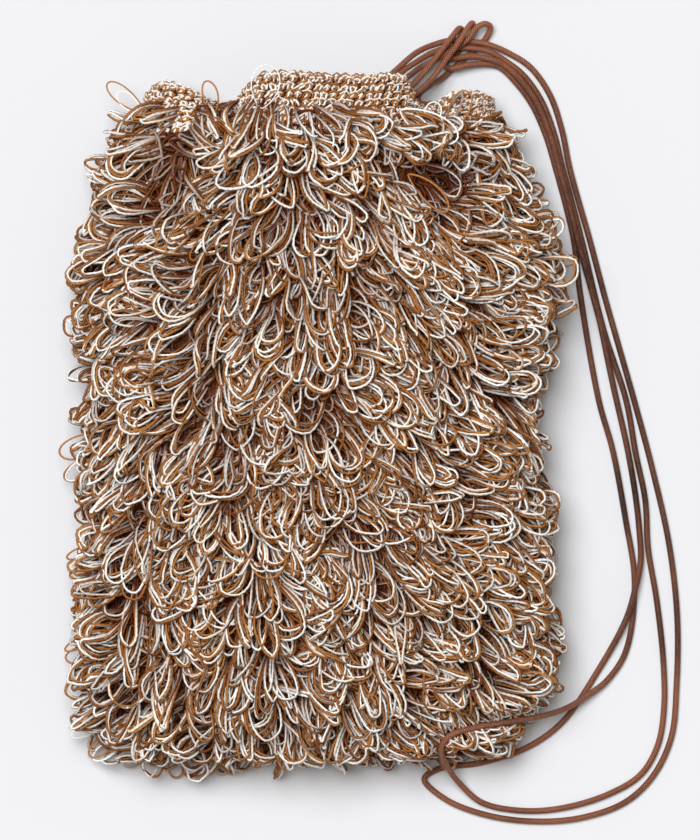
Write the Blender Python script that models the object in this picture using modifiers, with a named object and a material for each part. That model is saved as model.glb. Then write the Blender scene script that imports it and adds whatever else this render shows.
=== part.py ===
# A crocheted drawstring pouch covered in yarn loops, empty and lying on its back.
# Metres. X runs across the pouch, +Y towards its mouth and Z up from the table.
# The origin is on the table under the middle of the pouch.

import math

import bmesh
import bpy
from mathutils import Vector

MM = 0.001

# Pouch, in millimetres
SECTIONS = (  # y along the pouch, centre x, half width, crown height, height of the side edge
    (-165.5, 0.0, 88.0, 36.0, 16.0),
    (-150.0, 0.0, 103.0, 42.0, 16.5),
    (-128.0, 1.0, 111.0, 54.0, 18.0),
    (-90.0, 0.5, 109.5, 63.0, 20.0),
    (-50.0, 0.0, 108.5, 66.0, 20.0),
    (-10.0, -0.5, 106.0, 66.0, 20.0),
    (30.0, 0.0, 108.0, 64.0, 20.0),
    (62.0, 0.5, 112.0, 61.0, 20.0),
    (88.0, 0.0, 110.0, 58.0, 19.0),
    (110.0, 0.0, 103.0, 55.0, 18.0),
    (131.0, -1.0, 98.0, 52.0, 17.0),
    (146.0, 0.5, 91.0, 48.0, 15.5),
    (154.0, 1.5, 87.5, 46.0, 15.0),
    (176.0, 1.5, 86.0, 46.0, 15.0),
)
STATIONS = (  # across the front, as fractions of the half width, closer together in the pleats
    1.0, 0.94, 0.84, 0.74, 0.64, 0.54, 0.42, 0.25, 0.05,
    -0.15, -0.33, -0.445, -0.545, -0.645, -0.77, -0.91, -1.0,
)
RIM = (  # fraction of the half width, y of the front rim there
    (-1.0, 163.0), (-0.91, 169.0), (-0.77, 166.0), (-0.645, 160.0), (-0.545, 158.0), (-0.445, 163.0),
    (-0.33, 171.5), (-0.15, 174.0), (0.05, 174.5), (0.25, 173.5), (0.42, 171.5), (0.54, 163.0),
    (0.64, 157.5), (0.74, 161.5), (0.84, 163.5), (0.94, 163.0), (1.0, 161.0),
)
BACK_RIM_Y = 159.0
PLEATS = (  # fraction of the half width, depth, breadth as a fraction
    (-0.545, 17.0, 0.105),
    (0.64, 17.5, 0.1),
)
PLEAT_FADE = (84.0, 142.0)
CROWN_POWER = 2.2
FLAT_SHARE = 0.6
NECK_LIFT, NECK_FADE = 3.5, (122.0, 150.0)
WALL, COLLAR_WALL = 7.0, 3.5
COLLAR_START, COLLAR_RINGS, COLLAR_RIB = 149.5, 8, 0.5
LUMP = 1.4
END_ROWS = ((-159.5, 0.66), (-163.9, 0.34), (-165.5, 0.0))  # y, share of the thickness left
END_SHARE = 0.9  # share left at the last tier

# Loop pile, in millimetres
TIER_TOP, TIER_PITCH, TIER_COUNT = 144.0, 26.8, 12
LOOPS_PER_TIER = 12
LOOP_LENGTH, LOOP_WIDTH, END_LOOP_LENGTH = 29.0, 14.0, 20.0
ROOT_REACH = 2.9  # from a loop's middle to where its yarn meets the wall
PLEAT_CLEARANCE = 0.13  # loops this close to a pleat, as a fraction of the half width, are left out
YARN_RADIUS = 1.65
WALL_GAP, SIDE_GAP = 1.0, 0.8
LOOP_LIFT, SIDE_LIFT = 13.0, 30.0  # degrees off the wall, in the middle and at the sides
SIDE_FAN = 62.0  # degrees that the loops turn outwards at the sides
CORD_CLEARANCE = 4.8
LOOP_PATH = (  # share of the half width, share of the length
    (0.36, 0.0), (0.88, 0.5), (0.8, 0.85), (0.0, 1.0), (-0.8, 0.85), (-0.88, 0.5), (-0.36, 0.0),
)

# Cords, in millimetres
CORD_RADIUS = 1.5
CORD_TURN, CORD_STEP = 27.0, 22.0  # a new point after this many degrees or millimetres
NECK_CORD_Y, NECK_CORD_GAP = 154.0, 1.2
LANE_PITCH = 3.4
BUNDLE = (  # x, y, how far the strands spread
    (94.5, 181, 1.25), (103.5, 174, 1.55), (112.5, 161.5, 1.5), (119, 145, 1.25),
    (123.5, 127, 1.0), (128.5, 108.5, 1.0), (133, 91, 1.15),
)
LANES = {"outer": (1.0, 1.7), "second": (0.0, 1.7), "top": (-0.5, 4.7), "inner": (-1.0, 1.7)}
FIRST_KNOT_A = (
    (32, 152.5, 34.9), (41, 158, 28.7), (51.2, 165, 24.5), (59.5, 173.4, 18), (65.2, 181.5, 13.2),
    (71, 189.2, 12.8), (75.8, 197, 9), (78.2, 199.6, 5.6), (78.8, 196.5, 2.4), (76, 191.5, 1.7),
    (72.5, 187, 1.7), (68.5, 183, 1.7), (65.2, 180.5, 1.8), (64.8, 178, 3.8), (68, 177, 5.8),
    (77, 178.8, 5.3), (85.5, 179.2, 3.4),
)
FIRST_LOOP = (
    (132, 66, 1.7), (141.5, 11, 1.7), (148.5, -14, 1.7), (155, -49, 1.7), (159.5, -80.5, 1.7),
    (155, -115, 1.7), (145.5, -129.5, 2.6), (137, -136, 5.4), (127.5, -142, 10), (115.5, -146.2, 21),
    (98, -149.2, 34), (80, -152, 39), (67, -156, 38.5), (62.5, -162, 33), (64.8, -170.5, 22),
    (72, -181, 7), (83, -190.5, 2.3), (101.5, -194.5, 1.7), (122, -193.5, 1.7), (146, -186.5, 1.7),
    (162.5, -176.5, 1.7), (171, -162, 1.7), (174.2, -143, 1.7), (173.8, -119, 1.7), (170.5, -89, 1.7),
    (166.2, -63, 1.7), (164.8, -39, 1.7), (160, -15.5, 1.7), (155.2, 11, 1.7), (144, 46, 1.7),
)
FIRST_KNOT_B = (
    (22.5, 152.5, 35.6), (30, 160, 31.5), (41.6, 173.6, 24.5), (52, 181, 15.5), (59, 185, 9.5),
    (66.5, 187.2, 5.8), (76, 187.2, 5.4), (85.5, 185.8, 4.6),
)
SECOND_KNOT_A = (
    (18, 152.5, 35.8), (25.5, 162, 31.5), (39.8, 175.5, 24.5), (50.5, 184.8, 15), (59, 188.8, 8.6),
    (67.5, 191, 5.6), (77.5, 190.5, 5.5), (86, 189, 5.4),
)
SECOND_LOOP = (
    (145, 61, 1.7), (159.2, 11, 1.7), (168.5, -24, 1.7), (176.8, -61.5, 1.7), (180.8, -97.5, 1.7),
    (180.5, -131.5, 1.7), (177.8, -158, 1.7), (168.5, -177.5, 1.7), (154.5, -190.5, 1.7),
    (133.5, -198, 1.7), (112, -200, 1.7), (87, -197.2, 1.7), (65, -189, 1.7), (54.2, -178.8, 1.7),
    (61, -173.8, 1.7), (83, -170.5, 1.7), (105.5, -163, 1.7), (123.5, -150, 1.7), (140.5, -125.5, 1.7),
    (155, -99, 4.6), (159.8, -83, 5.9), (162.5, -69, 3.4), (161.8, -54, 2.2), (160, -37.5, 1.7),
    (156, -14, 2.2), (149, 17, 2.9), (145.5, 33.5, 4.8), (141.8, 51, 5),
)
SECOND_KNOT_B = (
    (27.5, 152.5, 35.3), (36, 158, 29), (48, 168, 23.5), (55.5, 176.5, 18.5), (62, 184.8, 12.8),
    (68, 192.5, 10.2), (71.8, 197, 6.6), (73.2, 195.5, 3.4), (70.5, 190.5, 1.7), (66.2, 186.5, 1.7),
    (64.8, 184.5, 4), (67, 182.2, 5.8), (78, 183.1, 5.3), (86.5, 181.7, 5.3),
)
NECK_BIGHT = (
    (37, 157, 36.5), (40.5, 164.5, 32), (44.8, 171.2, 25.3), (48, 174, 18.6), (52, 177.2, 13.3), (60, 181.3, 9.8),
    (67.5, 185.6, 8.6), (72, 188.3, 8.5), (76.5, 192, 8.6), (80, 197, 8), (84.5, 199.3, 6.8),
    (87.2, 197.8, 5), (85.5, 193, 2.6), (82.5, 189.2, 1.7), (79, 185.8, 1.7), (75, 182.5, 1.7),
    (70, 178.2, 1.7), (63.5, 172.5, 2.5), (57, 168.2, 11), (51, 162, 19.5), (53.5, 156, 18.3),
)

COLOURS = {  # base colour, roughness
    "crochet": ((0.62, 0.44, 0.28, 1.0), 0.9),
    "loop_yarn": ((0.55, 0.36, 0.18, 1.0), 0.85),
    "cord": ((0.17, 0.08, 0.055, 1.0), 0.6),
}


def start_scene():
    for thing in list(bpy.data.objects):
        bpy.data.objects.remove(thing, do_unlink=True)
    groups = {}
    for name in ("crocheted_pouch", "guides"):
        groups[name] = bpy.data.collections.new(name)
        bpy.context.scene.collection.children.link(groups[name])
    return groups["crocheted_pouch"], groups["guides"]


def material(name):
    colour, roughness = COLOURS[name]
    made = bpy.data.materials.get(name) or bpy.data.materials.new(name)
    made.use_nodes = True
    shader = made.node_tree.nodes["Principled BSDF"]
    shader.inputs["Base Color"].default_value = colour
    shader.inputs["Roughness"].default_value = roughness
    shader.inputs["Metallic"].default_value = 0.0
    return made


def fade(value, low, high):
    share = min(max((value - low) / (high - low), 0.0), 1.0)
    return share * share * (3.0 - 2.0 * share)


def between(table, key, column):
    """Linear reading of a table whose first column rises."""
    if key <= table[0][0]:
        return table[0][column]
    for low, high in zip(table, table[1:]):
        if key <= high[0]:
            share = (key - low[0]) / (high[0] - low[0])
            return low[column] + (high[column] - low[column]) * share
    return table[-1][column]


def front_height(fraction, y, crown, edge):
    """Height of the front: a dome from edge to edge, with two pleats towards the mouth."""
    dome = (1.0 - abs(fraction) ** CROWN_POWER) ** (1.0 / CROWN_POWER)
    height = edge + (crown - edge) * dome
    for place, depth, breadth in PLEATS:
        height -= depth * fade(y, *PLEAT_FADE) * math.exp(-(((fraction - place) / breadth) ** 2))
    return height


def back_height(fraction, y, edge):
    """Height of the back: flat on the table, curling up to the side edges."""
    curl = max(abs(fraction) - FLAT_SHARE, 0.0) / (1.0 - FLAT_SHARE)
    lift = NECK_LIFT * fade(y, *NECK_FADE)
    return lift + (edge - lift) * (1.0 - math.sqrt(1.0 - curl * curl))


def wall_point(fraction, front, y, share=1.0):
    """A point of the pouch's outer face; share thins it towards its rounded lower end."""
    centre, half, crown, edge = (between(SECTIONS, y, column) for column in (1, 2, 3, 4))
    height = front_height(fraction, y, crown, edge) if front else back_height(fraction, y, edge)
    return Vector((centre + half * fraction, y, edge + (height - edge) * share))


def ring(y, share=1.0):
    """Once round the pouch at y: across the front from +X to -X, then back underneath."""
    front = [wall_point(fraction, True, y, share) for fraction in STATIONS]
    back = [wall_point(fraction, False, y, share) for fraction in STATIONS[-2:0:-1]]
    return front + back


def collar_ring(step):
    """One ring of the collar; the rows of stitches follow the rim down to its foot."""
    share = step / COLLAR_RINGS
    points = []
    for index, fraction in enumerate(STATIONS + STATIONS[-2:0:-1]):
        front = index < len(STATIONS)
        rim = between(RIM, fraction, 1) if front else BACK_RIM_Y
        points.append(wall_point(fraction, front, COLLAR_START + (rim - COLLAR_START) * share))
    return points


def ring_normals(points, along):
    """Outward normals of a ring, from its neighbours and the direction along the pouch."""
    count = len(points)
    found = []
    for index in range(count):
        across = points[(index + 1) % count] - points[index - 1]
        found.append(along[index].cross(across).normalized())
    return found


def along_at(y):
    step = 2.0
    return [(above - below) for above, below in zip(ring(y + step), ring(y - step))]


def pouch_rings():
    """Every ring from the lower end to the rim, with its share of pile thickness."""
    rings = []
    for y, share in reversed(END_ROWS):
        rings.append((ring(y, share), 1.0))
    for half_step in range(2 * TIER_COUNT - 2, -1, -1):
        y = TIER_TOP - half_step * TIER_PITCH / 2.0
        share = END_SHARE if half_step == 2 * TIER_COUNT - 2 else 1.0
        points = ring(y, share)
        if half_step % 2:
            normals = ring_normals(points, along_at(y))
            for index in range(1, len(STATIONS) - 1):
                side = 1.0 if (index + half_step // 2) % 2 else -1.0
                points[index] = points[index] + normals[index] * LUMP * side
        rings.append((points, 1.0))
    along = [Vector((0.0, 1.0, 0.0))] * len(rings[0][0])
    for step in range(COLLAR_RINGS + 1):
        points = collar_ring(step)
        normals = ring_normals(points, along)
        rib = COLLAR_RIB if step % 2 else -COLLAR_RIB
        if step < COLLAR_RINGS:
            points = [
                point + normal * rib if index < len(STATIONS) else point
                for index, (point, normal) in enumerate(zip(points, normals))
            ]
        rings.append((points, 0.0))
    return rings


def build_pouch(group):
    mesh = bmesh.new()
    pile = mesh.verts.layers.deform.verify()
    count = 2 * len(STATIONS) - 2
    fold = len(STATIONS)
    loops = []
    for number, (points, weight) in enumerate(pouch_rings()):
        kept = points[:fold] if number == 0 else points
        verts = [mesh.verts.new(point * MM) for point in kept]
        for vert in verts:
            vert[pile][0] = weight
        if number == 0:
            verts += verts[-2:0:-1]
        loops.append(verts)
    for lower, upper in zip(loops, loops[1:]):
        for index in range(count):
            after = (index + 1) % count
            mesh.faces.new((lower[index], upper[index], upper[after], lower[after]))
    bmesh.ops.recalc_face_normals(mesh, faces=mesh.faces)
    data = bpy.data.meshes.new("pouch")
    mesh.to_mesh(data)
    mesh.free()
    data.shade_smooth()
    data.materials.append(material("crochet"))
    pouch = bpy.data.objects.new("pouch", data)
    pouch.vertex_groups.new(name="pile")
    group.objects.link(pouch)
    wall = pouch.modifiers.new("wall", "SOLIDIFY")
    wall.thickness = WALL * MM
    wall.offset = -1.0
    wall.vertex_group = "pile"
    wall.thickness_vertex_group = COLLAR_WALL / WALL
    return pouch


def wall_line(y, share):
    """The line that a tier's yarn follows, just off the front wall, with the wall's normals."""
    points = ring(y, share)
    normals = ring_normals(points, along_at(y))
    line = []
    for fraction, point, normal in zip(STATIONS, points, normals):
        line.append(point + normal * (YARN_RADIUS + WALL_GAP + SIDE_GAP * abs(fraction) ** 6))
    return line, normals[:len(STATIONS)]


def smooth_route(points, steps=16):
    """A centripetal Catmull-Rom curve through the points."""
    ends = [2 * points[0] - points[1]] + list(points) + [2 * points[-1] - points[-2]]
    curve = []
    for p0, p1, p2, p3 in zip(ends, ends[1:], ends[2:], ends[3:]):
        t1 = (p1 - p0).length ** 0.5
        t2 = t1 + (p2 - p1).length ** 0.5
        t3 = t2 + (p3 - p2).length ** 0.5
        for step in range(steps):
            t = t1 + (t2 - t1) * step / steps
            a1 = p0.lerp(p1, t / t1)
            a2 = p1.lerp(p2, (t - t1) / (t2 - t1))
            a3 = p2.lerp(p3, (t - t2) / (t3 - t2))
            b1 = a1.lerp(a2, t / t2)
            b2 = a2.lerp(a3, (t - t1) / (t3 - t1))
            curve.append(b1.lerp(b2, (t - t1) / (t2 - t1)))
    curve.append(points[-1].copy())
    return curve


def thinned(curve):
    """Keeps a point where the curve has turned or run on by enough."""
    kept = [curve[0]]
    turned = travelled = 0.0
    for before, here, after in zip(curve, curve[1:], curve[2:]):
        travelled += (here - before).length
        turned += math.degrees((here - before).angle(after - here, 0.0))
        if turned > CORD_TURN or travelled > CORD_STEP:
            kept.append(here)
            turned = travelled = 0.0
    return kept + [curve[-1]]


def lane(name):
    """One strand of the bundle beside the mouth."""
    shift, height = LANES[name]
    strand = []
    for index, (x, y, spread) in enumerate(BUNDLE):
        before = BUNDLE[max(index - 1, 0)]
        after = BUNDLE[min(index + 1, len(BUNDLE) - 1)]
        way = Vector((after[0] - before[0], after[1] - before[1])).normalized()
        aside = shift * spread * LANE_PITCH
        strand.append((x - way.y * aside, y + way.x * aside, height))
    return strand


def cord_route(knot_a, lane_a, loop, lane_b, knot_b):
    out = list(knot_a) + lane(lane_a) + list(loop)
    back = lane(lane_b)[::-1] + list(knot_b)[::-1]
    return [Vector(point) for point in out + back]


def neck_route():
    """The neck cord's bight, then once round inside the collar and back to its start."""
    points = ring(NECK_CORD_Y)
    normals = ring_normals(points, [Vector((0.0, 1.0, 0.0))] * len(points))
    reach = COLLAR_WALL + COLLAR_RIB + CORD_RADIUS + NECK_CORD_GAP
    inner = [point - normal * reach for point, normal in zip(points, normals)]
    right_pleat, last = STATIONS.index(0.64), STATIONS.index(0.42)
    run = inner[right_pleat::-1] + inner[:last:-1]
    return [Vector(point) for point in NECK_BIGHT] + run


def tube(name, splines, radius, group, colour, profile=None, closed=False):
    curve = bpy.data.curves.new(name, "CURVE")
    curve.dimensions = "3D"
    curve.resolution_u = 1
    curve.render_resolution_u = 0
    curve.use_fill_caps = True
    if profile:
        curve.bevel_mode = "OBJECT"
        curve.bevel_object = profile
    else:
        curve.bevel_depth = radius * MM
        curve.bevel_resolution = 2
    for points in splines:
        spline = curve.splines.new("POLY")
        spline.points.add(len(points) - 1)
        spline.use_cyclic_u = closed
        for slot, point in zip(spline.points, points):
            slot.co = (*(point * MM), 1.0)
    curve.materials.append(material(colour))
    made = bpy.data.objects.new(name, curve)
    group.objects.link(made)
    return made


def section_guide(name, sides, radius, group):
    """A closed outline with few sides, as a tube's cross-section."""
    curve = bpy.data.curves.new(name, "CURVE")
    curve.dimensions = "2D"
    curve.resolution_u = 1
    curve.fill_mode = "NONE"
    spline = curve.splines.new("POLY")
    spline.points.add(sides - 1)
    spline.use_cyclic_u = True
    for index, slot in enumerate(spline.points):
        angle = -2.0 * math.pi * index / sides
        slot.co = (radius * MM * math.cos(angle), radius * MM * math.sin(angle), 0.0, 1.0)
    guide = bpy.data.objects.new(name, curve)
    guide.hide_render = True
    guide.display_type = "WIRE"
    group.objects.link(guide)
    return guide


def loop_points(root, normal, fraction, length):
    """One loop of yarn: out from the wall, round its tip and back, fanning out at the sides."""
    outward = abs(fraction) ** 1.5
    fan = math.radians(SIDE_FAN) * outward * math.copysign(1.0, fraction)
    heading = Vector((math.sin(fan), -math.cos(fan), 0.0))
    along = (heading - normal * heading.dot(normal)).normalized()
    lift = math.radians(LOOP_LIFT + (SIDE_LIFT - LOOP_LIFT) * abs(fraction) ** 4)
    out = along * math.cos(lift) + normal * math.sin(lift)
    facing = (normal + Vector((0.0, 0.0, 0.9))).normalized()
    across = facing.cross(out).normalized()
    half = LOOP_WIDTH / 2.0
    return [root + across * (half * a) + out * (length * b) for a, b in LOOP_PATH]


def clear_of(points, routes, distance):
    return all((p - q).length > distance for p in points for route in routes for q in route)


def near_pleat(fraction, y):
    deep = fade(y, *PLEAT_FADE) > 0.3
    return deep and any(abs(fraction - place) < PLEAT_CLEARANCE for place, _, _ in PLEATS)


def build_tier(number, routes, profile, group):
    """A row of loops in one yarn, which runs along the wall from each loop to the next."""
    last = number == TIER_COUNT - 1
    y = TIER_TOP - number * TIER_PITCH
    length = END_LOOP_LENGTH if last else LOOP_LENGTH
    line, normals = wall_line(y, END_SHARE if last else 1.0)
    places = [0.0]
    for a, b in zip(line, line[1:]):
        places.append(places[-1] + (b - a).length)
    table = [(s, *p, *n, f) for s, p, n, f in zip(places, line, normals, STATIONS)]
    pitch = places[-1] / LOOPS_PER_TIER
    yarn, reached = [], 0.0
    for index in range(LOOPS_PER_TIER):
        place = (index + (0.3 if number % 2 else 0.7)) * pitch
        values = [between(table, place, column) for column in range(1, 8)]
        root, normal, fraction = Vector(values[:3]), Vector(values[3:6]).normalized(), values[6]
        points = loop_points(root, normal, fraction, length)
        if near_pleat(fraction, y) or not clear_of(points, routes, CORD_CLEARANCE):
            continue
        yarn += [p for s, p in zip(places, line) if reached <= s < place - ROOT_REACH]
        yarn += points
        reached = place + ROOT_REACH
    yarn += [p for s, p in zip(places, line) if s >= reached]
    tube(f"loop_tier_{number + 1:02d}", [yarn], YARN_RADIUS, group, "loop_yarn", profile)


def main():
    group, guides = start_scene()
    build_pouch(group)
    first = thinned(smooth_route(cord_route(FIRST_KNOT_A, "inner", FIRST_LOOP, "second", FIRST_KNOT_B)))
    second = thinned(smooth_route(cord_route(SECOND_KNOT_A, "outer", SECOND_LOOP, "top", SECOND_KNOT_B)))
    tube("drawstring_first", [first], CORD_RADIUS, group, "cord")
    tube("drawstring_second", [second], CORD_RADIUS, group, "cord")
    neck = neck_route()
    tube("neck_cord", [thinned(smooth_route(neck + neck[:1]))[:-1]], CORD_RADIUS, group, "cord", closed=True)
    yarn = section_guide("yarn_section", 3, YARN_RADIUS, guides)
    for number in range(TIER_COUNT):
        build_tier(number, (first, second), yarn, group)


main()
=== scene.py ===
import math

import bpy
import numpy as np
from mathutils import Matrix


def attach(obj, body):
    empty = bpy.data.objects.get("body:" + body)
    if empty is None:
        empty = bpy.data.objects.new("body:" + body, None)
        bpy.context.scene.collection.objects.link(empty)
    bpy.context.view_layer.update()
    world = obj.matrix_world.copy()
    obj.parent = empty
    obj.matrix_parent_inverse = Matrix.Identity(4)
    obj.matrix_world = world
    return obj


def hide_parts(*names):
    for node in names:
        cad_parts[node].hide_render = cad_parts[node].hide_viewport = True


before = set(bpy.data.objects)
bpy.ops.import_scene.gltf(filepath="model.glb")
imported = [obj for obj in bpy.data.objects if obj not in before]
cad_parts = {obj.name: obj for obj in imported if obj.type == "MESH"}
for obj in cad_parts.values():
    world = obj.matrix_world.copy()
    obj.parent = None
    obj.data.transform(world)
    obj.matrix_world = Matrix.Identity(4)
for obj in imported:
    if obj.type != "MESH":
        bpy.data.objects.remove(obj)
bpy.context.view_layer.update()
print("frame loaded")

mm = 0.001
rng = np.random.default_rng(21)

# the bag lies on its back, mouth towards +Y; widths and heights here are millimetres
bag = {
    # y, centre x, half width, crown height, height of the side edge
    "sections": (
        (-165.5, 0, 88, 36, 16),
        (-150, 0, 103, 42, 16.5),
        (-128, 1, 111, 54, 18),
        (-90, 0.5, 109.5, 63, 20),
        (-50, 0, 108.5, 66, 20),
        (-10, -0.5, 106, 66, 20),
        (30, 0, 108, 64, 20),
        (62, 0.5, 112, 61, 20),
        (88, 0, 110, 58, 19),
        (110, 0, 103, 55, 18),
        (131, -1, 98, 52, 17),
        (146, 0.5, 91, 48, 15.5),
        (154, 1.5, 87.5, 46, 15),
        (176, 1.5, 86, 46, 15),
    ),
    # fraction of the half width, y of the front rim there
    "rim": (
        (-1, 163), (-0.95, 168), (-0.88, 169), (-0.77, 166), (-0.645, 160.5), (-0.545, 157.5),
        (-0.46, 161), (-0.4, 168.5), (-0.33, 173), (-0.2, 173.5), (0, 172.5), (0.2, 171.5),
        (0.4, 172.5), (0.49, 172), (0.53, 167), (0.565, 158.5), (0.64, 156), (0.72, 160.5),
        (0.78, 164), (0.94, 164), (1, 161),
    ),
    "backRim": 159.0,
    "collarFoot": 149.5,
    # fraction of the half width, depth, breadth as a fraction
    "pleats": ((-0.545, 17.0, 0.105), (0.64, 17.5, 0.1)),
    "pleatFade": (84.0, 142.0),
    "crownPower": 2.2,
    "flatShare": 0.6,
    "neckLift": 3.5,
    "neckFade": (122.0, 150.0),
    # y, share of the thickness left towards the closed end
    "endShares": ((-165.5, 0.0), (-163.9, 0.34), (-159.5, 0.66), (-150.8, 0.9), (-137.0, 1.0)),
    "clothInset": 1.3,  # the cloth lies this far inside, under the roots of the loops
    "backInset": 3.7,  # room under the bag for the flattened loops
    "collarInset": 1.0,
    "clothThickness": 1.9,
    "columns": 132,
    "bodyRows": 68,
    "collarRows": 8,
}
sections = np.array(bag["sections"])
rimTable = np.array(bag["rim"])
endTable = np.array(bag["endShares"])


def smoothStep(value, low, high):
    share = np.clip((value - low) / (high - low), 0.0, 1.0)
    return share * share * (3.0 - 2.0 * share)


def unit(vectors):
    return vectors / np.maximum(np.linalg.norm(vectors, axis=-1, keepdims=True), 1e-12)


def lookUp(table, at, column=1):
    return np.interp(at, table[:, 0], table[:, column])


# distance run along each line of points
def runAlong(points):
    steps = np.linalg.norm(np.diff(points, axis=-2), axis=-1)
    return np.concatenate([np.zeros_like(steps[..., :1]), np.cumsum(steps, axis=-1)], axis=-1)


# a point of the wall; turn runs round the bag, 0 at its +X side, pi at its -X side, the front between
def wallPoint(turn, y, inset=0.0, backInset=0.0):
    turn, y = np.broadcast_arrays(np.asarray(turn, float), np.asarray(y, float))
    fraction = np.cos(turn)
    centre, half, crown, edge = (lookUp(sections, y, column) for column in (1, 2, 3, 4))
    half, crown = half - inset, crown - inset
    dome = np.maximum(1.0 - np.abs(fraction) ** bag["crownPower"], 0.0) ** (1.0 / bag["crownPower"])
    front = edge + (crown - edge) * dome
    for place, depth, breadth in bag["pleats"]:
        groove = np.exp(-(((fraction - place) / breadth) ** 2))
        front = front - depth * smoothStep(y, *bag["pleatFade"]) * groove
    curl = np.clip((np.abs(fraction) - bag["flatShare"]) / (1.0 - bag["flatShare"]), 0.0, 1.0)
    lift = bag["neckLift"] * smoothStep(y, *bag["neckFade"]) + backInset
    back = lift + (edge - lift) * (1.0 - np.sqrt(np.maximum(1.0 - curl * curl, 0.0)))
    share = lookUp(endTable, y)
    height = edge + (np.where(np.sin(turn) >= -1e-9, front, back) - edge) * share
    return np.stack([centre + half * fraction, y, height], axis=-1)


def wallNormal(turn, y):
    step = 0.012
    across = wallPoint(np.asarray(turn) + step, y) - wallPoint(np.asarray(turn) - step, y)
    along = wallPoint(turn, np.asarray(y) + 2.0) - wallPoint(turn, np.asarray(y) - 2.0)
    return unit(np.cross(across, along)) * -1.0


# y of a collar row, share 0 at its foot and 1 at its rim
def collarY(turn, share):
    fraction = np.cos(turn)
    frontRim = lookUp(rimTable, fraction)
    side = smoothStep(np.sin(turn), -0.12, 0.0)
    rim = bag["backRim"] + (frontRim - bag["backRim"]) * side
    return bag["collarFoot"] + (rim - bag["collarFoot"]) * share


def collarPoint(turn, share, *inset):
    return wallPoint(turn, collarY(turn, share), *inset)


# how far inside the wall the cloth lies at y
def insets(y):
    body = 1.0 - smoothStep(y, bag["collarFoot"] - 4.0, bag["collarFoot"] + 1.0)
    front = bag["collarInset"] + (bag["clothInset"] - bag["collarInset"]) * body
    back = bag["collarInset"] + (bag["backInset"] - bag["collarInset"]) * body
    return front, back


# turns that stand evenly along the wall at y
def evenTurns(y, pitch, low, high, shift=0.0):
    turns = np.linspace(low, high, 400)
    run = runAlong(wallPoint(turns, y))
    count = max(int(run[-1] / pitch), 1)
    places = (np.arange(count) + 0.5 + shift) * run[-1] / count
    return np.interp(places, run, turns)


def deselectAll():
    for thing in bpy.context.selected_objects:
        thing.select_set(False)


# the skin of many tubes; paths is tubes x points x 3 in metres, facing points out of each tube's bend
def tubeSkins(paths, radius, sides, facing):
    ahead = unit(np.gradient(paths, axis=1))
    aside = unit(np.cross(ahead, facing))
    up = np.cross(aside, ahead)
    turn = math.tau * (np.arange(sides) + 0.5) / sides
    ring = aside[:, :, None] * np.cos(turn)[:, None] + up[:, :, None] * np.sin(turn)[:, None]
    radius = np.broadcast_to(radius, paths.shape[:2])[:, :, None, None]
    return (paths[:, :, None] + ring * radius).reshape(-1, 3)


# quads round each tube, a cap at both ends, and the uv of every corner (metres along, share round)
def tubeFaces(count, points, sides, run):
    tube = np.arange(count)[:, None, None] * points * sides
    level = np.arange(points - 1)[None, :, None] * sides
    side = np.arange(sides)[None, None, :]
    after = (side + 1) % sides
    low, high = tube + level, tube + level + sides
    quads = np.stack([low + side, low + after, high + after, high + side], axis=-1).reshape(-1, 4)
    start = run[:, :-1, None] + np.zeros(sides)
    end = run[:, 1:, None] + np.zeros(sides)
    left = np.broadcast_to(side / sides, start.shape)
    right = left + 1.0 / sides
    uv = np.stack([start, left, start, right, end, right, end, left], axis=-1).reshape(-1, 2)
    first = (np.arange(count)[:, None] * points * sides) + np.arange(sides)[::-1]
    last = (np.arange(count)[:, None] * points * sides) + (points - 1) * sides + np.arange(sides)
    return quads, uv, np.concatenate([first, last])


# points at many offsets along three axes from each origin
def layOut(origins, axes, offsets):
    spread = (slice(None), *[None] * (offsets[0].ndim - 1))
    points = origins[spread]
    for axis, offset in zip(axes, offsets):
        points = points + axis[spread] * offset[..., None]
    return points


# a mesh of tubes; slots gives the material of each tube, attributes a value for each point
def meshObject(name, verts, quads, caps, uv, materials, slots, attributes):
    data = bpy.data.meshes.new(name)
    corners = np.concatenate([quads.ravel(), caps.ravel()]).astype(np.int32)
    sizes = np.concatenate([np.full(len(quads), 4), np.full(len(caps), caps.shape[1])])
    data.vertices.add(len(verts))
    data.vertices.foreach_set("co", verts.astype(np.float32).ravel())
    data.loops.add(len(corners))
    data.loops.foreach_set("vertex_index", corners)
    data.polygons.add(len(sizes))
    data.polygons.foreach_set("loop_start", (np.cumsum(sizes) - sizes).astype(np.int32))
    for material in materials:
        data.materials.append(material)
    ofFaces = np.concatenate([np.repeat(slots, len(quads) // len(slots)), np.tile(slots, 2)[:len(caps)]])
    data.polygons.foreach_set("material_index", ofFaces.astype(np.int32))
    data.update(calc_edges=True)
    layer = data.uv_layers.new(name="UVMap")
    layer.data.foreach_set("uv", np.concatenate([uv, np.zeros((caps.size, 2))]).astype(np.float32).ravel())
    for key, values in attributes.items():
        data.attributes.new(key, "FLOAT", "POINT").data.foreach_set("value", values.astype(np.float32))
    data.shade_smooth()
    data.validate()
    made = bpy.data.objects.new(name, data)
    bpy.context.scene.collection.objects.link(made)
    return made


# one piece of many yarns, slot 0 cream and 1 ochre; tone and depth are for whole yarns or for their points,
# and depth is painted shade, dark deep in the pile
def yarnPiece(name, paths, radius, sides, facing, slots, tone, depth):
    quads, uv, caps = tubeFaces(*paths.shape[:2], sides, runAlong(paths))
    shades = {"tone": tone, "depth": depth}
    for key, value in shades.items():
        shades[key] = np.repeat(np.broadcast_to(value, paths.shape[:2]), sides)
    verts = tubeSkins(paths, radius, sides, facing)
    return meshObject(name, verts, quads, caps, uv, [creamYarn, ochreYarn], slots, shades)


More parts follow.
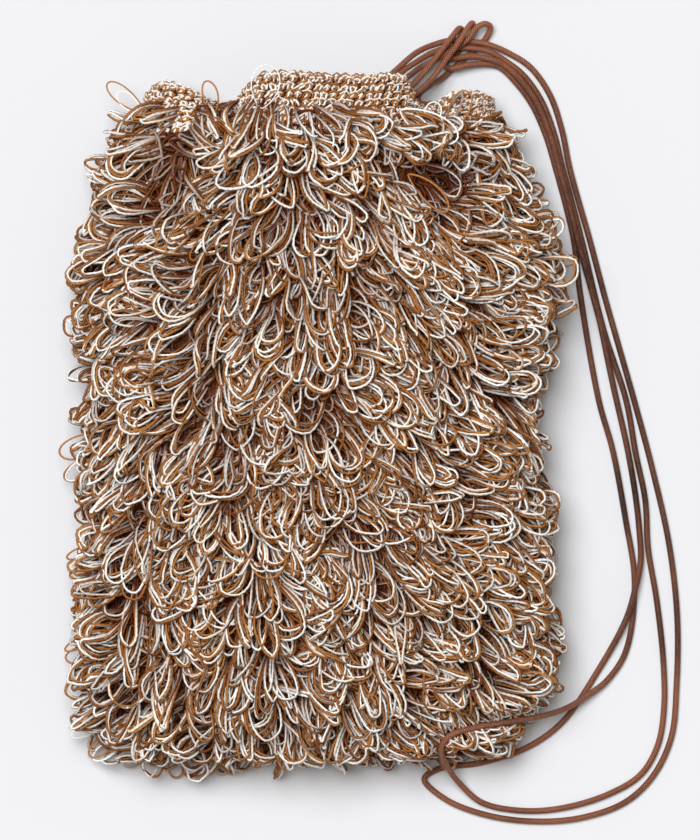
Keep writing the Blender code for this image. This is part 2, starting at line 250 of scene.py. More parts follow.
# a material, its tree and its shader
def newMaterial(name, look):
    material = bpy.data.materials.new(name)
    material.use_nodes = True
    tree = material.node_tree
    shader = tree.nodes["Principled BSDF"]
    shader.inputs["Roughness"].default_value = look["roughness"]
    shader.inputs["Specular IOR Level"].default_value = look["specular"]
    return material, tree, shader


# a number or a colour is set on the sockets, and anything else is linked to them
def feed(tree, sockets, values):
    for socket, value in zip(sockets, values):
        if isinstance(value, float):
            socket.default_value = value
        elif isinstance(value, tuple):
            socket.default_value = (*value, 1.0)
        else:
            tree.links.new(value, socket)


def mathNode(tree, operation, *values):
    node = tree.nodes.new("ShaderNodeMath")
    node.operation = operation
    feed(tree, node.inputs, values)
    return node.outputs[0]


# the sine of a value that goes through so many turns for each unit
def wave(tree, value, turns):
    return mathNode(tree, "SINE", mathNode(tree, "MULTIPLY", value, math.tau * turns))


def mixColour(tree, factor, first, second):
    node = tree.nodes.new("ShaderNodeMix")
    node.data_type = "RGBA"
    feed(tree, (node.inputs["Factor"], node.inputs[6], node.inputs[7]), (factor, first, second))
    return node.outputs[2]


def attributeNode(tree, name):
    node = tree.nodes.new("ShaderNodeAttribute")
    node.attribute_name = name
    return node.outputs["Fac"]


def noiseNode(tree, scale):
    node = tree.nodes.new("ShaderNodeTexNoise")
    place = tree.nodes.new("ShaderNodeTexCoord").outputs["Object"]
    feed(tree, (node.inputs["Scale"], node.inputs["Vector"]), (scale, place))
    return node.outputs["Fac"]


# x, y and z of a node's vector
def axesOf(tree, kind, output):
    split = tree.nodes.new("ShaderNodeSeparateXYZ")
    tree.links.new(tree.nodes.new(kind).outputs[output], split.inputs[0])
    return split.outputs


# the phase of a twist along its yarn or cord, and round it
def twistPhases(tree, pitch, strands):
    along, around, _ = axesOf(tree, "ShaderNodeUVMap", "UV")
    turns = ((along, 1.0 / pitch), (around, strands))
    return [mathNode(tree, "MULTIPLY", value, math.tau * count) for value, count in turns]


def finishMaterial(tree, shader, colour, height, look):
    bump = tree.nodes.new("ShaderNodeBump")
    feed(tree, (bump.inputs["Distance"], bump.inputs["Strength"], bump.inputs["Height"]),
         (look["relief"], look["strength"], height))
    feed(tree, (shader.inputs["Base Color"], shader.inputs["Normal"]), (colour, bump.outputs[0]))


yarnLook = {
    # light and dark bound each yarn's random tone, and dark is also where the painted shade between the plies
    # goes; root is painted shade, for yarn deep in the pile
    "cream": {"light": (0.905, 0.94, 0.95), "dark": (0.85, 0.775, 0.665), "root": (0.15, 0.038, 0.011)},
    "ochre": {"light": (0.46, 0.208, 0.067), "dark": (0.25, 0.086, 0.025), "root": (0.085, 0.014, 0.002)},
    "roughness": 0.68,
    "specular": 0.08,
    "plyPitch": 2.6 * mm,
    "plies": 2.0,
    "plyShade": 0.16,  # painted shade between the plies: how much darker it is there
    "fibreScale": 900.0,
    "fibreShade": 0.16,
    "relief": 0.12 * mm,
    "strength": 0.8,
}


def yarnMaterial(name, colours):
    material, tree, shader = newMaterial(name, yarnLook)
    along, around = twistPhases(tree, yarnLook["plyPitch"], yarnLook["plies"])
    ply = mathNode(tree, "SINE", mathNode(tree, "ADD", along, around))
    ply = mathNode(tree, "MULTIPLY_ADD", ply, 0.5, 0.5)
    fibres = mathNode(tree, "MULTIPLY", noiseNode(tree, yarnLook["fibreScale"]), yarnLook["fibreShade"])
    # painted shade: the yarn is darker in the grooves between its plies
    groove = mathNode(tree, "MULTIPLY", mathNode(tree, "SUBTRACT", 1.0, ply), yarnLook["plyShade"])
    colour = mixColour(tree, attributeNode(tree, "tone"), colours["light"], colours["dark"])
    for shade in (fibres, groove):
        colour = mixColour(tree, shade, colour, colours["dark"])
    # painted shade: depth darkens the yarn towards the root colour where it lies deep in the pile
    colour = mixColour(tree, attributeNode(tree, "depth"), colour, colours["root"])
    finishMaterial(tree, shader, colour, mathNode(tree, "ADD", ply, fibres), yarnLook)
    return material


creamYarn = yarnMaterial("creamYarn", yarnLook["cream"])
ochreYarn = yarnMaterial("ochreYarn", yarnLook["ochre"])

# the cloth's cream and ochre are painted dark with the shade of the pile over it; shade is painted shade in
# the stitches' hollows
clothLook = {
    "cream": (0.16, 0.058, 0.025),
    "ochre": (0.11, 0.03, 0.008),
    "shade": (0.047, 0.011, 0.003),
    "roughness": 0.85,
    "specular": 0.15,
    "stitch": (4.2 * mm, 4.0 * mm),
    "slant": 1.6,  # how steeply the legs of a stitch lean
    "melange": (420.0, 0.9),  # scale of its noise, and how much the strands' own waves count beside it
    # painted shade: how dark the hollows between the stitches are painted
    "hollowShade": 0.8,
    "strandRelief": 0.15,
    "relief": 0.9 * mm,
    "strength": 1.0,
}


def crochetMaterial():
    material, tree, shader = newMaterial("crochetCloth", clothLook)
    across, up, _ = axesOf(tree, "ShaderNodeUVMap", "UV")
    width, height = clothLook["stitch"]
    column, row = mathNode(tree, "DIVIDE", across, width), mathNode(tree, "DIVIDE", up, height)
    legs = mathNode(tree, "MULTIPLY", mathNode(tree, "PINGPONG", column, 0.5), clothLook["slant"])
    strands = wave(tree, mathNode(tree, "ADD", row, legs), 2.0)
    rows = mathNode(tree, "ABSOLUTE", wave(tree, row, 0.5))
    posts = mathNode(tree, "ABSOLUTE", wave(tree, column, 1.0))
    mound = mathNode(tree, "MULTIPLY", rows, posts)
    scale, share = clothLook["melange"]
    pick = mathNode(tree, "ADD", mathNode(tree, "MULTIPLY", strands, share), noiseNode(tree, scale))
    pick = mathNode(tree, "GREATER_THAN", pick, 0.5)
    colour = mixColour(tree, pick, clothLook["ochre"], clothLook["cream"])
    # painted shade in the hollows between the stitches
    paintedHollowShade = mathNode(tree, "MULTIPLY", mathNode(tree, "SUBTRACT", 1.0, mound), clothLook["hollowShade"])
    colour = mixColour(tree, paintedHollowShade, colour, clothLook["shade"])
    ridge = mathNode(tree, "MULTIPLY", strands, clothLook["strandRelief"])
    finishMaterial(tree, shader, colour, mathNode(tree, "ADD", mound, ridge), clothLook)
    return material


crochetCloth = crochetMaterial()

cordLook = {
    "light": (0.32, 0.115, 0.057),
    "dark": (0.022, 0.006, 0.003),
    "roughness": 0.38,
    "specular": 0.34,
    "fleckScale": 700.0,
    "patches": (24.0, 1.9),  # scale of their noise, and how much it counts beside the flecks
    "paintedLitEnds": (0.01, 0.07, 0.12, 0.72),  # painted light: the cord is painted paler away from the middle of its fall; y of the fall's middle, from how far off, over how far, how much
    "shade": 1.13,  # taken off the wear and painted light, so that only the flecks and the plait's ridges are light and the braid's grooves take painted shade
    "braidPitch": 1.3 * mm,
    "strands": 5.0,
    "relief": 0.22 * mm,
    "strength": 1.0,
}


def cordMaterial():
    material, tree, shader = newMaterial("braidedCord", cordLook)
    phases = twistPhases(tree, cordLook["braidPitch"], cordLook["strands"])
    left, right = (mathNode(tree, "SINE", mathNode(tree, way, *phases)) for way in ("ADD", "SUBTRACT"))
    plait = mathNode(tree, "MULTIPLY_ADD", mathNode(tree, "MAXIMUM", left, right), 0.5, 0.5)
    scale, share = cordLook["patches"]
    patches = mathNode(tree, "MULTIPLY", noiseNode(tree, scale), share)
    wearAndPaintedLight = mathNode(tree, "ADD", noiseNode(tree, cordLook["fleckScale"]), patches)
    # painted light: paler away from the middle of the fall, added to the flecks
    middle, begin, run, more = cordLook["paintedLitEnds"]
    y = axesOf(tree, "ShaderNodeTexCoord", "Object")[1]
    apart = mathNode(tree, "ABSOLUTE", mathNode(tree, "SUBTRACT", y, middle))
    paintedLit = mathNode(tree, "DIVIDE", mathNode(tree, "SUBTRACT", apart, begin), run)
    paintedLit.node.use_clamp = True
    wearAndPaintedLight = mathNode(tree, "ADD", wearAndPaintedLight, mathNode(tree, "MULTIPLY", paintedLit, more))
    # painted shade: the braid goes dark in its grooves and light on its ridges
    share = mathNode(tree, "MULTIPLY", plait, mathNode(tree, "SUBTRACT", wearAndPaintedLight, cordLook["shade"]))
    finishMaterial(tree, shader, mixColour(tree, share, cordLook["dark"], cordLook["light"]), plait, cordLook)
    return material


braidedCord = cordMaterial()
print("materials made")

# floor, light and camera
view = {
    "centre": (0.017, 0.001),
    "frame": (0.35, 0.42),
    "height": 0.012,  # of the plane that fills the frame
    "lens": 600.0,
    "sensor": 36.0,
    "clipEnd": 60.0,
    "floor": {"size": 30.0, "drop": 0.2 * mm, "roughness": 0.9, "specular": 0.0},
    "floorColour": (0.677, 0.6955, 0.732),
    "keyStrength": 3.42,
    "keySpread": 34.0,  # degrees across the soft source
    "keyTurn": (14.0, -10.0),  # degrees off the vertical, towards the mouth and the left
    "worldColour": (1.0, 0.87, 0.74),
    "worldStrength": 0.3,
}


def makeStage():
    deselectAll()
    look = view["floor"]
    bpy.ops.mesh.primitive_plane_add(size=look["size"], location=(0.0, 0.0, -look["drop"]))
    floor = bpy.context.object
    floor.name = "paleFloor"
    material, _, shader = newMaterial("paleFloor", look)
    shader.inputs["Base Color"].default_value = (*view["floorColour"], 1.0)
    floor.data.materials.append(material)


def makeLights():
    world = bpy.data.worlds.new("studio")
    bpy.context.scene.world = world
    world.use_nodes = True
    background = world.node_tree.nodes["Background"]
    feed(world.node_tree, background.inputs, (view["worldColour"], view["worldStrength"]))
    data = bpy.data.lights.new("softKey", "SUN")
    data.energy = view["keyStrength"]
    data.angle = math.radians(view["keySpread"])
    key = bpy.data.objects.new("softKey", data)
    tiltUp, tiltLeft = (math.radians(turn) for turn in view["keyTurn"])
    key.rotation_euler = (-tiltUp, tiltLeft, 0.0)
    key.location = (0.0, 0.0, 1.0)
    bpy.context.scene.collection.objects.link(key)


def makeCamera():
    data = bpy.data.cameras.new("camera")
    data.lens = view["lens"]
    data.sensor_width = view["sensor"]
    data.clip_end = view["clipEnd"]
    camera = bpy.data.objects.new("camera", data)
    distance = view["frame"][1] * view["lens"] / view["sensor"]
    camera.location = (*view["centre"], view["height"] + distance)
    bpy.context.scene.collection.objects.link(camera)
    bpy.context.scene.camera = camera


makeStage()
makeLights()
makeCamera()
bpy.context.scene.view_settings.view_transform = "Standard"
print("stage, lights and camera made")

# cords: routes in metres, as the frame has them
cords = {
    "radius": 0.0015,
    "sides": 12,
    "steps": 8,
    "lanePitch": 0.0034,
    # x, y, how far the strands spread
    "bundle": (
        (0.0945, 0.181, 1.25), (0.1035, 0.174, 1.55), (0.1125, 0.1615, 1.5), (0.119, 0.145, 1.25),
        (0.1235, 0.127, 1.0), (0.1285, 0.1085, 1.0), (0.133, 0.091, 1.15),
    ),
    # how far across the bundle, and how high
    "lanes": {
        "outer": (1.0, 0.0017), "second": (0.0, 0.0017), "top": (-0.5, 0.0047), "inner": (-1.0, 0.0017),
    },
    "firstKnotA": (
        (0.032, 0.1525, 0.0349), (0.041, 0.158, 0.0287), (0.0512, 0.165, 0.0245), (0.0595, 0.1734, 0.018),
        (0.0652, 0.1815, 0.0132), (0.071, 0.1892, 0.0128), (0.0758, 0.197, 0.009),
        (0.0782, 0.1996, 0.0056), (0.0788, 0.1965, 0.0024), (0.076, 0.1915, 0.0017),
        (0.0725, 0.187, 0.0017), (0.0685, 0.183, 0.0017), (0.0652, 0.1805, 0.0018),
        (0.0648, 0.178, 0.0038), (0.068, 0.177, 0.0058), (0.077, 0.1788, 0.0053), (0.0855, 0.1792, 0.0034),
    ),
    "firstLoop": (
        (0.132, 0.066, 0.0017), (0.1415, 0.011, 0.0017), (0.1485, -0.014, 0.0017), (0.155, -0.049, 0.0017),
        (0.1595, -0.0805, 0.0017), (0.155, -0.115, 0.0017), (0.1455, -0.1295, 0.0026),
        (0.137, -0.136, 0.0054), (0.1275, -0.142, 0.01), (0.1155, -0.1462, 0.021), (0.098, -0.1492, 0.034),
        (0.08, -0.152, 0.039), (0.067, -0.156, 0.0385), (0.0625, -0.162, 0.033), (0.0648, -0.1705, 0.022),
        (0.072, -0.181, 0.007), (0.083, -0.1905, 0.0023), (0.1015, -0.1945, 0.0017),
        (0.122, -0.1935, 0.0017), (0.146, -0.1865, 0.0017), (0.1625, -0.1765, 0.0017),
        (0.171, -0.162, 0.0017), (0.1742, -0.143, 0.0017), (0.1738, -0.119, 0.0017),
        (0.1705, -0.089, 0.0017), (0.1662, -0.063, 0.0017), (0.1648, -0.039, 0.0017),
        (0.16, -0.0155, 0.0017), (0.1552, 0.011, 0.0017), (0.144, 0.046, 0.0017),
    ),
    "firstKnotB": (
        (0.0225, 0.1525, 0.0356), (0.03, 0.16, 0.0315), (0.0416, 0.1736, 0.0245), (0.052, 0.181, 0.0155),
        (0.059, 0.185, 0.0095), (0.0665, 0.1872, 0.0058), (0.076, 0.1872, 0.0054),
        (0.0855, 0.1858, 0.0046),
    ),
    "secondKnotA": (
        (0.018, 0.1525, 0.0358), (0.0255, 0.162, 0.0315), (0.0398, 0.1755, 0.0245),
        (0.0505, 0.1848, 0.015), (0.059, 0.1888, 0.0086), (0.0675, 0.191, 0.0056),
        (0.0775, 0.1905, 0.0055), (0.086, 0.189, 0.0054),
    ),
    "secondLoop": (
        (0.145, 0.061, 0.0017), (0.1592, 0.011, 0.0017), (0.1685, -0.024, 0.0017),
        (0.1768, -0.0615, 0.0017), (0.1808, -0.0975, 0.0017), (0.1805, -0.1315, 0.0017),
        (0.1778, -0.158, 0.0017), (0.1685, -0.1775, 0.0017), (0.1545, -0.1905, 0.0017),
        (0.1335, -0.198, 0.0017), (0.112, -0.2, 0.0017), (0.087, -0.1972, 0.0017), (0.065, -0.189, 0.0017),
        (0.0542, -0.1788, 0.0017), (0.061, -0.1738, 0.0017), (0.083, -0.1705, 0.0017),
        (0.1055, -0.163, 0.0017), (0.1235, -0.15, 0.0017), (0.1405, -0.1255, 0.0017),
        (0.155, -0.099, 0.0046), (0.1598, -0.083, 0.0059), (0.1625, -0.069, 0.0034),
        (0.1618, -0.054, 0.0022), (0.16, -0.0375, 0.0017), (0.156, -0.014, 0.0022), (0.149, 0.017, 0.0029),
        (0.1455, 0.0335, 0.0048), (0.1418, 0.051, 0.005),
    ),
    "secondKnotB": (
        (0.0275, 0.1525, 0.0353), (0.036, 0.158, 0.029), (0.048, 0.168, 0.0235), (0.0555, 0.1765, 0.0185),
        (0.062, 0.1848, 0.0128), (0.068, 0.1925, 0.0102), (0.0718, 0.197, 0.0066),
        (0.0732, 0.1955, 0.0034), (0.0705, 0.1905, 0.0017), (0.0662, 0.1865, 0.0017),
        (0.0648, 0.1845, 0.004), (0.067, 0.1822, 0.0058), (0.078, 0.1831, 0.0053),
        (0.0865, 0.1817, 0.0053),
    ),
    "neckBight": (
        (0.037, 0.157, 0.0365), (0.0405, 0.1645, 0.032), (0.0448, 0.1712, 0.0253), (0.048, 0.174, 0.0186),
        (0.052, 0.1772, 0.0133), (0.06, 0.1813, 0.0098), (0.0675, 0.1856, 0.0086), (0.072, 0.1883, 0.0085),
        (0.0765, 0.192, 0.0086), (0.08, 0.197, 0.008), (0.0845, 0.1993, 0.0068), (0.0872, 0.1978, 0.005),
        (0.0855, 0.193, 0.0026), (0.0825, 0.1892, 0.0017), (0.079, 0.1858, 0.0017),
        (0.075, 0.1825, 0.0017), (0.07, 0.1782, 0.0017), (0.0635, 0.1725, 0.0025), (0.057, 0.1682, 0.011),
        (0.051, 0.162, 0.0195), (0.0535, 0.156, 0.0183),
    ),
    # the ring inside the collar, in millimetres
    "neckY": 154.0,
    "neckReach": 6.7,  # from the collar's outer face to the neck cord's middle
    "stations": (1.0, 0.94, 0.84, 0.74, 0.64, 0.54, 0.42, 0.25, 0.05,
                 -0.15, -0.33, -0.445, -0.545, -0.645, -0.77, -0.91, -1.0),
}


# a centripetal Catmull-Rom curve through the points
def smoothRoute(points, closed=False):
    points = np.array(points, float)
    if closed:
        points = np.concatenate([points[-1:], points, points[:2]])
    else:
        points = np.concatenate([2 * points[:1] - points[1:2], points, 2 * points[-1:] - points[-2:-1]])
    curve = []
    for p0, p1, p2, p3 in zip(points, points[1:], points[2:], points[3:]):
        t1 = math.sqrt(np.linalg.norm(p1 - p0))
        t2 = t1 + math.sqrt(np.linalg.norm(p2 - p1))
        t3 = t2 + math.sqrt(np.linalg.norm(p3 - p2))
        for step in range(cords["steps"]):
            t = t1 + (t2 - t1) * step / cords["steps"]
            a1 = p0 + (p1 - p0) * t / t1
            a2 = p1 + (p2 - p1) * (t - t1) / (t2 - t1)
            a3 = p2 + (p3 - p2) * (t - t2) / (t3 - t2)
            b1 = a1 + (a2 - a1) * t / t2
            b2 = a2 + (a3 - a2) * (t - t1) / (t3 - t1)
            curve.append(b1 + (b2 - b1) * (t - t1) / (t2 - t1))
    if not closed:
        curve.append(points[-2])
    return np.array(curve)


def lane(name):
    shift, height = cords["lanes"][name]
    bundle = cords["bundle"]
    strand = []
    for index, (x, y, spread) in enumerate(bundle):
        before, after = bundle[max(index - 1, 0)], bundle[min(index + 1, len(bundle) - 1)]
        way = unit(np.array([after[0] - before[0], after[1] - before[1]]))
        aside = shift * spread * cords["lanePitch"]
        strand.append((x - way[1] * aside, y + way[0] * aside, height))
    return strand


def drawstringRoute(knotA, laneA, loop, laneB, knotB):
    return smoothRoute([*cords[knotA], *lane(laneA), *cords[loop], *lane(laneB)[::-1], *cords[knotB][::-1]])


def neckRoute():
    turns = np.arccos(np.array(cords["stations"]))
    ring = np.concatenate([turns, -turns[-2:0:-1]])
    points = wallPoint(ring, cords["neckY"])
    across = np.roll(points, -1, axis=0) - np.roll(points, 1, axis=0)
    normals = unit(np.cross((0.0, 1.0, 0.0), across))
    inner = (points - normals * cords["neckReach"]) * mm
    rightPleat, last = cords["stations"].index(0.64), cords["stations"].index(0.42)
    return smoothRoute([*cords["neckBight"], *inner[rightPleat::-1], *inner[:last:-1]], closed=True)


# a round tube along one route, its frame carried along so that it never twists
def cordObject(name, route, closed=False):
    count, sides = len(route), cords["sides"]
    if closed:
        ahead = unit(np.roll(route, -1, axis=0) - np.roll(route, 1, axis=0))
    else:
        ahead = unit(np.gradient(route, axis=0))
    side = unit(np.cross(ahead[0], (0.0, 0.0, 1.0)))
    frames = []
    for way in ahead:
        side = unit(side - way * np.dot(side, way))
        frames.append((side, np.cross(side, way)))
    frames = np.array(frames)
    turn = np.zeros(count)
    if closed:  # share out the turn that is left when the ring closes
        end = unit(frames[-1, 0] - ahead[0] * np.dot(frames[-1, 0], ahead[0]))
        left = math.atan2(np.dot(np.cross(frames[0, 0], end), ahead[0]), np.dot(frames[0, 0], end))
        turn = -left * np.arange(count) / count
    angles = turn[:, None] + math.tau * np.arange(sides) / sides
    ring = frames[:, 0, None] * np.cos(angles)[..., None] - frames[:, 1, None] * np.sin(angles)[..., None]
    verts = (route[:, None] + ring * cords["radius"]).reshape(-1, 3)
    if closed:
        quads, uv, caps = tubeFaces(1, count + 1, sides, runAlong(np.append(route, route[:1], axis=0))[None])
        quads, caps = quads % (count * sides), caps[:0]
    else:
        quads, uv, caps = tubeFaces(1, count, sides, runAlong(route)[None])
    made = meshObject(name, verts, quads, caps, uv, [braidedCord], [0], {})
    return made


firstRoute = drawstringRoute("firstKnotA", "inner", "firstLoop", "second", "firstKnotB")
secondRoute = drawstringRoute("secondKnotA", "outer", "secondLoop", "top", "secondKnotB")
for name, route in (("drawstringFirst", firstRoute), ("drawstringSecond", secondRoute)):
    made = cordObject(name, route)
    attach(made, "root")
    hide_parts("drawstring_first" if name == "drawstringFirst" else "drawstring_second")
neckCord = cordObject("neckCord", neckRoute(), closed=True)
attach(neckCord, "root")
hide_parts("neck_cord")
print("cords laid")


# the cloth: a grid wrapped into the bag, closed along its side and its lower end
def makeCloth():
    deselectAll()
    rows = bag["bodyRows"] + bag["collarRows"]
    bpy.ops.mesh.primitive_grid_add(x_subdivisions=bag["columns"], y_subdivisions=rows, size=1.0)
    cloth = bpy.context.object
    cloth.name = "crochetPouch"
    data = cloth.data
    across, up = bag["columns"] + 1, rows + 1
    turns = np.linspace(0.0, 2.0 * math.pi, across)
    low = sections[0, 0]
    bodyShare = np.linspace(0.0, 1.0, bag["bodyRows"] + 1)
    bodyY = low + (bag["collarFoot"] - low) * bodyShare ** 1.15
    points = []
    for row in range(up):
        if row <= bag["bodyRows"]:
            y = np.full(across, bodyY[row])
        else:
            y = collarY(turns, (row - bag["bodyRows"]) / bag["collarRows"])
        points.append(wallPoint(turns, y, *insets(y)))
    points = np.array(points)
    data.vertices.foreach_set("co", (points * mm).astype(np.float32).ravel())
    # a uv in metres, so that the stitches keep their size
    middleRow, middleColumn = points[bag["bodyRows"] // 2], points[:, bag["columns"] // 4]
    around, along = runAlong(middleRow) * mm, runAlong(middleColumn) * mm
    where = np.zeros(len(data.loops), np.int32)
    data.loops.foreach_get("vertex_index", where)
    uv = np.stack([around[where % across], along[where // across]], axis=-1).astype(np.float32)
    data.uv_layers[0].data.foreach_set("uv", uv.ravel())
    data.update()
    bpy.ops.object.mode_set(mode="EDIT")
    bpy.ops.mesh.select_all(action="SELECT")
    bpy.ops.mesh.remove_doubles(threshold=0.00002)
    bpy.ops.mesh.normals_make_consistent(inside=False)
    bpy.ops.object.mode_set(mode="OBJECT")
    centre = np.array([0.0, 0.0, 0.03])
    facing = sum(np.dot(np.array(face.normal), np.array(face.center) - centre) for face in data.polygons)
    if facing < 0.0:
        data.flip_normals()
    wall = cloth.modifiers.new("thickness", "SOLIDIFY")
    wall.thickness = bag["clothThickness"] * mm
    wall.offset = -1.0
    bpy.ops.object.modifier_apply(modifier=wall.name)
    data.materials.append(crochetCloth)
    data.shade_smooth()
    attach(cloth, "root")
    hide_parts("pouch")


makeCloth()
print("cloth made")

# the collar's stitches, row on row: slanted posts of doubled yarn under a doubled arc
stitches = {
    "width": 4.5,
    "rows": 6,
    "hiddenRows": 2,  # under the first loops
    "innerRows": 2,
    "yarnRadius": 0.72,
    "sides": 3,
    # across, up, out in millimetres
    "posts": (
        ((-1.9, 1.2, 0.1), (-1.5, 0.5, 0.9), (-0.9, -0.5, 1.0), (-0.4, -1.4, 0.6), (0.1, -2.1, -0.5)),
        ((-0.6, 1.3, 0.2), (-0.3, 0.6, 1.0), (0.2, -0.4, 1.1), (0.7, -1.3, 0.6), (1.2, -2.0, -0.5)),
        ((0.7, 1.2, 0.2), (1.0, 0.5, 0.9), (1.5, -0.5, 1.0), (1.9, -1.3, 0.6), (2.3, -1.9, -0.5)),
    ),
    "arc": ((-2.3, 0.2, -0.6), (-1.7, 1.5, 0.9), (0.0, 2.3, 1.5), (1.7, 1.5, 0.9), (2.3, 0.2, -0.6)),
    "nested": (0.72, 1.15, 0.15),  # the arc inside it: its width, and how far it is down and in
    "rowHeight": 4.0,  # of the shapes above, which follow the collar's own rows
    "uneven": 0.35,
    "jitter": 0.3,
    "lean": 0.35,
    "tone": (0.25, 0.25),
    "depth": (0.7, 0.15, 0.0, 0.15, 0.7),  # painted shade: darker where the strands sink in
}


def makeStitches():
    turns = np.linspace(0.0, math.tau, 1600)
    run = runAlong(collarPoint(turns, 0.5))
    count = int(run[-1] / stitches["width"])
    arc = np.array(stitches["arc"])
    narrower, drop, sink = stitches["nested"]
    layouts = [np.array(post) for post in stitches["posts"]]
    layouts = np.array(layouts + [arc, arc * (narrower, 1.0, 1.0) - (0.0, drop, sink)])
    strands, points = layouts.shape[:2]
    levels = [(row + 0.5, 1.0) for row in range(-stitches["hiddenRows"], stitches["rows"])]
    levels += [(stitches["rows"] - 0.1, 0.5)]
    levels += [(stitches["rows"] - 0.6 - row, -1.0) for row in range(stitches["innerRows"])]
    paths, facing, isCream = [], [], []
    for level, outward in levels:
        share = level / stitches["rows"]
        shift = rng.uniform(0.0, 1.0)
        places = (np.arange(count) + shift) * run[-1] / count + rng.normal(0.0, stitches["uneven"], count)
        at = np.interp(places, run, turns)
        origin = collarPoint(at, share, bag["collarInset"], bag["collarInset"])
        across = unit(collarPoint(at + 0.01, share) - collarPoint(at - 0.01, share))
        up = unit(collarPoint(at, share + 0.05) - collarPoint(at, share - 0.05))
        out = unit(np.cross(up, across))
        rowHeight = np.abs(collarY(at, 1.0) - collarY(at, 0.0)) / stitches["rows"]
        if outward < 0.0:
            origin = origin - out * (bag["clothThickness"] + 0.1)
            out = out * -1.0
        elif outward < 1.0:  # the chain along the rim lies over the edge
            up, out = unit(up * 0.5 - out), unit(out * 0.5 + up)
            origin = origin - out * 0.6
        stretch = (rowHeight / stitches["rowHeight"])[:, None, None]
        uneven = rng.normal(0.0, stitches["jitter"], (count, strands, points, 3)) * (1.0, 0.8, 0.7)
        a, b, c = np.moveaxis(layouts[None] + uneven, -1, 0)
        lean = rng.normal(0.0, stitches["lean"], count)[:, None, None]
        a, b = a + lean * b, b * stretch
        paths.append(layOut(origin, (across, up, out), (a, b, c)).reshape(-1, points, 3))
        facing.append(np.repeat(out, strands, axis=0))
        post, arcs = (rng.random((count, 2)) < 0.5).T
        isCream.append(np.stack([post, ~post, post, arcs, ~arcs], axis=1).reshape(-1))
    paths, facing = np.concatenate(paths) * mm, np.concatenate(facing)[:, None]
    slots = np.where(np.concatenate(isCream), 0, 1)
    tone = np.clip(rng.normal(*stitches["tone"], len(paths)), 0.0, 1.0)[:, None]
    made = yarnPiece("collarStitches", paths, stitches["yarnRadius"] * mm, stitches["sides"], facing, slots,
                     tone, stitches["depth"])
    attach(made, "root")
    print("collar stitches:", len(paths), "strands")


makeStitches()

